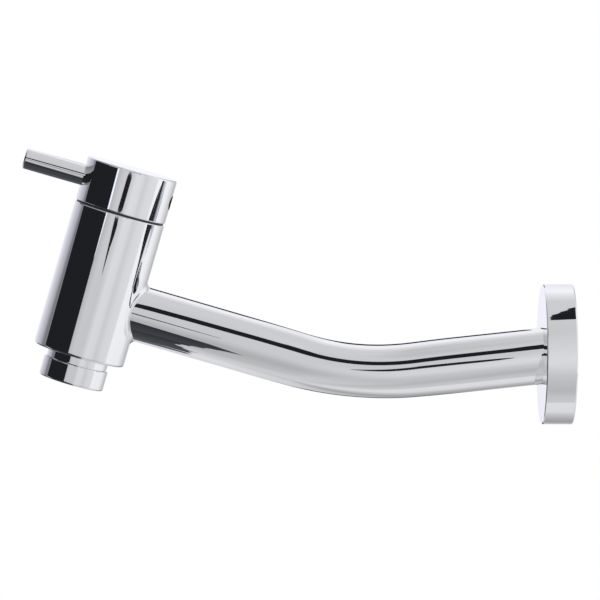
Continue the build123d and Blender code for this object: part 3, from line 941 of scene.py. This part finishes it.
@dataclass(frozen=True)
class Card:
    """A studio card that the chrome mirrors: a patch of a sphere around the tap.

    Args:
        name: what the card is.
        distance: from what it stands around, in metres.
        edges: its edges; azimuths start at +X and grow towards +Y.
        aim: what it stands around; one that stands around the head leans with it.
        tint: colour that multiplies the tones.
        cells: facets along an edge and between two edges.
    """

    name: str
    distance: float
    edges: Edges
    aim: Aim = Aim.TAP
    tint: Colour = (0.94, 1.0, 1.12)
    cells: int = 8

    def build(self, centre: Vector, lean: float, material: Material) -> Object:
        """Makes the card, which only mirrors see.

        Args:
            centre: what the card stands around.
            lean: how far its frame leans towards the wall, in radians.
            material: shader that reads the card's tone.

        Returns:
            The card.
        """
        grid = self._grid()
        tall, wide = grid.shape[:2]
        corners = grid.reshape(-1, 3)
        points = [
            centre + self.distance * leaning_direction(azimuth, elevation, lean)
            for azimuth, elevation, _ in corners
        ]
        faces = [
            (i, i + 1, i + 1 + wide, i + wide)
            for line in range(tall - 1)
            for i in range(line * wide, (line + 1) * wide - 1)
        ]
        mesh = bpy.data.meshes.new("card_" + self.name)
        mesh.from_pydata(points, [], faces)
        layer = mesh.color_attributes.new("tone", "FLOAT_COLOR", "POINT")
        for place, (_, _, tone) in zip(layer.data, corners):
            place.color = (*(tone * part for part in self.tint), 1.0)
        mesh.materials.append(material)
        return mirror_only("card_" + self.name, mesh)

    def _grid(self) -> np.ndarray:
        """Azimuth, elevation and tone of each corner of a facet, line by line."""
        ends = np.array(self.edges, dtype=float)
        steps = np.arange(self.cells * (len(ends) - 1) + 1) / self.cells
        low = np.minimum(steps.astype(int), len(ends) - 2)
        up = (steps - low)[:, None, None]
        lines = ends[low] * (1 - up) + ends[low + 1] * up
        across = (np.arange(self.cells + 1) / self.cells)[None, :, None]
        return lines[:, :1] * (1 - across) + lines[:, 1:] * across


CARDS = (
    Card("left_flag", CARD_DISTANCE, edges(
        (-107, -71.5, -79, -71.3, 0.07, 0.06), (-127, -67.8, -56, -67.8, 0.07, 0.05),
        (-139, -63.5, -41.3, -63.3, 0.08, 0.035), (-138, -57, -29.5, -57, 0.07, 0.06),
        (-97, -50, -21, -49, 0.06, 0.05), (-91, -43, -14, -41, 0.05, 0.045),
        (-90, -33, -13, -34, 0.04, 0.035), (-90.5, -17, -21, -17, 0.02, 0.02),
        (-90, 1.8, -33.2, 1.8), (-94, 9, -37, 9.9), (-103, 18, -43.5, 18), (-104, 30, -45, 30),
    )),
    Card("left_edge", CARD_DISTANCE - CARD_GAP, edges(
        (-36.5, 7.5, -35.9, 7.5, 1.1, 1.1), (-37.3, 9.9, -34.4, 9.9, 1.1, 1.1),
        (-43.7, 18, -40.8, 18, 1.1, 1.1),
    )),
    Card("left_back_low", CARD_DISTANCE + 2 * CARD_GAP, edges(
        (-144, -61, -90, -60, 0.12, 0.05), (-154, -53, -90, -50, 0.14, 0.05),
        (-158, -38, -92, -38, 0.09, 0.05), (-160, -30, -107, -30, 0.10, 0.07),
        (-165, -12, -109, -12, 0.12, 0.08),
    ), tint=(0.90, 0.94, 1.10)),
    Card("flange_fill", CARD_DISTANCE + CARD_GAP, edges(
        (-107, -29, -92, -29, 0.7, 0.7), (-107, -15, -91, -15, 0.7, 0.7),
    )),
    Card("wall_flag", CARD_DISTANCE, edges(
        (87, -19.8, 92, -19.8), (83, -18.3, 92, -18.3), (76.5, -16.8, 92, -16.8),
        (75, -15.8, 92, -15.8), (79.5, -14.9, 92, -14.9), (86, -14.2, 92, -14.2),
    )),
    Card("top_strip", STRIP_DISTANCE, edges(
        (-5.0, 25.5, 0.5, 42.8), (-2.4, 27.8, 2.6, 45.2), (2.4, 29.8, 8.5, 46.8),
        (6.8, 30.2, 13.9, 47.0), (10.9, 30.9, 19.0, 47.0), (14.8, 31.8, 21.5, 48.6),
        (20.4, 31.8, 24.6, 49.0),
    )),
    Card("stand_low", STAND_DISTANCE, edges(
        (-1.4, -3.9, 0.2, -3.9), (-4.0, -3.1, 2.2, -3.1), (-5.4, -2.4, 3.4, -2.4),
        (-6.4, -1.8, 4.6, -1.8), (-7.4, -1.4, 4.9, -1.4), (-8.6, -1.05, 3.7, -1.05),
    ), aim=Aim.HEAD),
    Card("stand_high", STAND_DISTANCE, edges(
        (-5, -0.9, 2.6, -0.9), (-7.4, -0.78, 5.0, -0.78), (-7.4, 0.5, 5.0, 0.5),
        (-5, 0.66, 2.6, 0.66),
    ), aim=Aim.HEAD),
    Card("arm_strip", STRIP_DISTANCE, edges(
        (6.4, 4.7, 6.6, 5.8), (7.2, 4.7, 7.4, 8.4), (8.2, 4.3, 8.5, 11.4), (9.2, 3.9, 9.2, 13.1),
        (10.6, 5.6, 9.8, 15.8), (11.8, 5.4, 11.1, 15.0), (14.4, 5.0, 13.9, 13.3),
        (16.0, 5.4, 15.6, 12.0), (17.0, 7.8, 16.9, 9.9),
    )),
    Card("lever_strip", CARD_DISTANCE, edges((-10.5, 11.2, -3.0, 19.2), (-9.5, 20.0, -2.4, 27.5))),
    Card("rim_card", STRIP_DISTANCE, edges(
        (37.1, 54.1, 42.8, 54.7), (41.9, 58.0, 47.7, 57.9), (47.8, 61.2, 53.9, 60.9),
        (58.5, 64.4, 61.8, 63.5), (72.3, 66.6, 71.5, 65.5), (78.9, 66.8, 80.7, 66.5),
    )),
    Card("back_bar", CARD_DISTANCE, edges((169.3, 14, 184, 14), (169.3, 34, 184, 34))),
    Card("back_foot", CARD_DISTANCE, edges(
        (167, -33, 184, -33, 0.1, 0.1), (167, -14, 184, -14, 0.1, 0.1),
    )),
)


@dataclass(frozen=True)
class Tent:
    """Cloth tent around the tap, whose brightness changes around it and up it.

    Args:
        radius: in metres.
        around: azimuth in degrees and brightness there, from one back seam to the other.
        upwards: elevation in degrees and the share of that brightness.
        poles: elevation in degrees and the share of the even cloth above and below.
        pole_tone: brightness of that even cloth.
        cool: tint of the side cloth.
        cool_around: azimuth in degrees and the share of that tint.
        cool_upwards: elevation in degrees and the share of that tint.
        lean: how far the tent leans towards the wall, in radians.
        columns: facets around it.
        lines: facets from pole to pole.
    """

    radius: float = 0.95
    around: Stops = (
        (-180, 1.0), (-160, 0.97), (-140, 0.8), (-115, 0.5), (-105, 0.22), (-40, 0.45),
        (-20, 0.66), (0, 0.64), (12, 0.8), (26, 0.78), (36, 0.68), (50, 0.77), (69, 0.8),
        (73, 1.0), (117, 0.97), (130, 0.8), (156, 0.5), (168, 0.8), (180, 1.0),
    )
    upwards: Stops = (
        (-90, 0.82), (-60, 0.8), (-36, 0.72), (-24, 0.78), (-12, 0.92), (0, 1.0), (90, 1.0),
    )
    poles: Stops = ((-88, 1.0), (-68, 0.0), (52, 0.0), (78, 1.0))
    pole_tone: float = 0.68
    cool: Colour = (0.96, 0.96, 1.04)
    cool_around: Stops = ((-180, 1.0), (-100, 1.0), (-60, 0.0), (150, 0.0), (180, 1.0))
    cool_upwards: Stops = ((-40, 0.0), (-22, 1.0), (30, 1.0), (50, 0.0))
    lean: float = 0.0
    columns: int = 48
    lines: int = 24

    def build(self, centre: Vector) -> Object:
        """Makes the tent.

        Args:
            centre: what the tent stands around.

        Returns:
            The tent.
        """
        mesh = bpy.data.meshes.new("tent")
        shape = bmesh.new()
        bmesh.ops.create_uvsphere(
            shape, u_segments=self.columns, v_segments=self.lines, radius=self.radius
        )
        bmesh.ops.reverse_faces(shape, faces=shape.faces)
        bmesh.ops.translate(shape, verts=shape.verts, vec=centre)
        shape.to_mesh(mesh)
        shape.free()
        mesh.materials.append(new_material("tent_cloth", lambda graph: self._cloth(graph, centre)))
        return mirror_only("tent", mesh)

    def _cloth(self, graph: Graph, centre: Vector) -> Wire:
        """Glowing cloth, brighter and darker by direction.

        Args:
            graph: the cloth's tree.
            centre: what the tent stands around.

        Returns:
            The cloth's shader.
        """
        away = graph.wire("ShaderNodeTexCoord", output="Object").vector("SUBTRACT", tuple(centre))
        upright = {"Vector": away, "Angle": self.lean}
        turned = graph.wire("ShaderNodeVectorRotate", upright, rotation_type="X_AXIS")
        azimuth = turned.part("Y").math("ARCTAN2", turned.part("X")) / math.pi * 0.5 + 0.5
        elevation = (turned.part("Z") / self.radius).math("ARCSINE") / math.pi + 0.5
        tone = self._ramp(graph, azimuth, self.around, 360.0)
        share = self._ramp(graph, elevation, self.upwards, 180.0)
        pole = self._ramp(graph, elevation, self.poles, 180.0)
        level = tone * share * (1.0 - pole) + self.pole_tone * pole
        cool = self._ramp(graph, azimuth, self.cool_around, 360.0)
        cool = cool * self._ramp(graph, elevation, self.cool_upwards, 180.0)
        tint = graph.mix(cool, (1.0, 1.0, 1.0), self.cool)
        return graph.wire("ShaderNodeEmission", {"Color": tint.scaled(level)})

    @staticmethod
    def _ramp(graph: Graph, place: Wire, stops: Stops, full: float) -> Wire:
        """Brightness from a ramp whose stops are angles out of a full range."""
        shares = [(angle / full + 0.5, tone) for angle, tone in stops]
        return graph.wire("ShaderNodeValToRGB", {"Fac": place}, stops=shares)


@dataclass(frozen=True)
class Studio:
    """Pale floor, even light, and the cloth and cards that the chrome mirrors.

    Args:
        centre: middle of the tap.
        head: the head's place.
        floor_drop: from the middle of the tap down to the floor.
        floor_half: half the floor's width.
        floor_tones: brightness of the floor's paper and of the specks in it.
        floor_grain: size of the specks.
        floor_glow: how far the floor looks as white as the room.
        fill: brightness of the room as a light.
        lamp_size: width of the lamp.
        lamp_power: in watts.
        lamp_place: seen from the middle of the tap.
    """

    centre: Vector
    head: Head
    floor_drop: float = 1.3
    floor_half: float = 5.0
    floor_tones: tuple[float, float] = (0.92, 0.916)
    floor_grain: float = 60 * MM
    floor_glow: float = 0.9
    fill: float = 0.85
    lamp_size: float = 1.2
    lamp_power: float = 4.0
    lamp_place: Triple = (0.8, -0.4, 1.4)

    def build(self) -> None:
        """Makes the world, the floor, the lamp and the cards."""
        self._world()
        self._floor()
        self._lamp()
        Tent(lean=self.head.lean).build(self.centre)
        shader = new_material("card_face", self._card_face)
        places = {Aim.TAP: (self.centre, 0.0), Aim.HEAD: (self.head.point, self.head.lean)}
        for card in CARDS:
            card.build(*places[card.aim], shader)
            LOG.info("card %s", card.name)

    def _world(self) -> None:
        """White world: full strength for the camera and mirrors, a little less as a fill."""
        world = bpy.data.worlds.new("white_room")
        bpy.context.scene.world = world
        world.use_nodes = True
        graph = Graph(world.node_tree)
        colour = graph.mix(self._seen(graph), (self.fill,) * 3, (1.0, 1.0, 1.0))
        light = graph.wire("ShaderNodeBackground", {"Color": colour})
        graph.node("ShaderNodeOutputWorld", {"Surface": light})

    @staticmethod
    def _seen(graph: Graph) -> Wire:
        """1 for rays from the camera, from a mirror or through glass."""
        rays = graph.node("ShaderNodeLightPath")
        names = ("Is Camera Ray", "Is Glossy Ray", "Is Transmission Ray")
        camera, mirror, glass = (Wire(graph, rays.outputs[name]) for name in names)
        return camera.math("MAXIMUM", mirror).math("MAXIMUM", glass)

    def _floor(self) -> None:
        """Pale floor well below the tap."""
        half, level = self.floor_half, self.centre.z - self.floor_drop
        signs = ((-1, -1), (1, -1), (1, 1), (-1, 1))
        mesh = bpy.data.meshes.new("floor")
        mesh.from_pydata([(x * half, y * half, level) for x, y in signs], [], [(0, 1, 2, 3)])
        mesh.materials.append(new_material("floor_paper", self._paper))
        floor = new_object("floor", mesh)

    def _paper(self, graph: Graph) -> Wire:
        """Matt paper with a faint grain, which looks nearly as white as the room.

        Args:
            graph: the paper's tree.

        Returns:
            The paper's shader.
        """
        grain = Finish.noise(graph, Finish.place(graph), self.floor_grain)
        colour = graph.mix(grain, *((tone,) * 3 for tone in self.floor_tones))
        matt = graph.wire("ShaderNodeBsdfDiffuse", {"Color": colour})
        glow = graph.wire("ShaderNodeEmission", {"Color": (1, 1, 1, 1), "Strength": 1.0})
        share = self._seen(graph) * self.floor_glow
        return graph.wire("ShaderNodeMixShader", {0: share, 1: matt, 2: glow})

    def _lamp(self) -> None:
        """One wide soft lamp above, which mirrors don't see."""
        light = bpy.data.lights.new("soft_box", "AREA")
        light.shape = "SQUARE"
        light.size = self.lamp_size
        light.energy = self.lamp_power
        lamp = new_object("soft_box", light)
        lamp.location = self.centre + Vector(self.lamp_place)
        lamp.rotation_euler = (self.centre - lamp.location).to_track_quat("-Z", "Y").to_euler()
        lamp.visible_glossy = False

    @staticmethod
    def _card_face(graph: Graph) -> Wire:
        """Plain glow in the card's own tone."""
        tone = graph.wire("ShaderNodeAttribute", attribute_name="tone")
        return graph.wire("ShaderNodeEmission", {"Color": tone, "Strength": 1.0})


@dataclass(frozen=True)
class Viewpoint:
    """Camera at the photograph's angle, fitted to the tap's outline.

    Args:
        place: the lens, in metres.
        yaw: turn of the view from -X towards +Y, in radians.
        pitch: how far the view looks up, in radians.
        roll: turn of the picture, in radians.
        focal_pixels: focal length in pixels of the picture.
        picture: width of the picture in pixels.
        sensor: width of the sensor in millimetres.
        sight: how far the camera sees, in metres.
    """

    place: Triple = (1.72871, -0.150028, 0.148463)
    yaw: float = 0.0271
    pitch: float = -0.0741
    roll: float = 0.007
    focal_pixels: float = 4595.6
    picture: float = 600.0
    sensor: float = 36.0
    sight: float = 50.0

    def build(self) -> None:
        """Makes the camera and hands it to the scene."""
        level = math.cos(self.pitch)
        ahead = Vector(
            (-math.cos(self.yaw) * level, math.sin(self.yaw) * level, math.sin(self.pitch))
        )
        right = ahead.cross(Vector((0, 0, 1))).normalized()
        above = right.cross(ahead)
        turned = Matrix.Rotation(self.roll, 3, -ahead)
        right, above = turned @ right, turned @ above
        data = bpy.data.cameras.new("camera")
        data.sensor_width = self.sensor
        data.lens = self.sensor * self.focal_pixels / self.picture
        data.clip_end = self.sight
        camera = new_object("camera", data)
        axes = Matrix((right, above, -ahead)).transposed()
        camera.matrix_world = Matrix.Translation(self.place) @ axes.to_4x4()
        bpy.context.scene.camera = camera


# Build


def main() -> None:
    """Builds the scene and reports each piece."""
    logging.basicConfig(level=logging.INFO, format="%(name)s: %(message)s")
    turn = joint("handle_turn")
    head = Head(Vector(turn["pos_m"]), Vector(turn["axis"]))
    low, high = cad_box
    middle = Vector((0.0, (low[1] + high[1]) / 2, 0.0))

    bpy.context.scene.view_settings.view_transform = "Standard"
    Viewpoint().build()
    Studio(middle, head).build()
    wardrobe = Wardrobe(head.lean)
    for kind in (Arm, Casing, Handle, Aerator, Cover):
        kind(head, wardrobe).build()


if __name__ == "__main__":
    main()
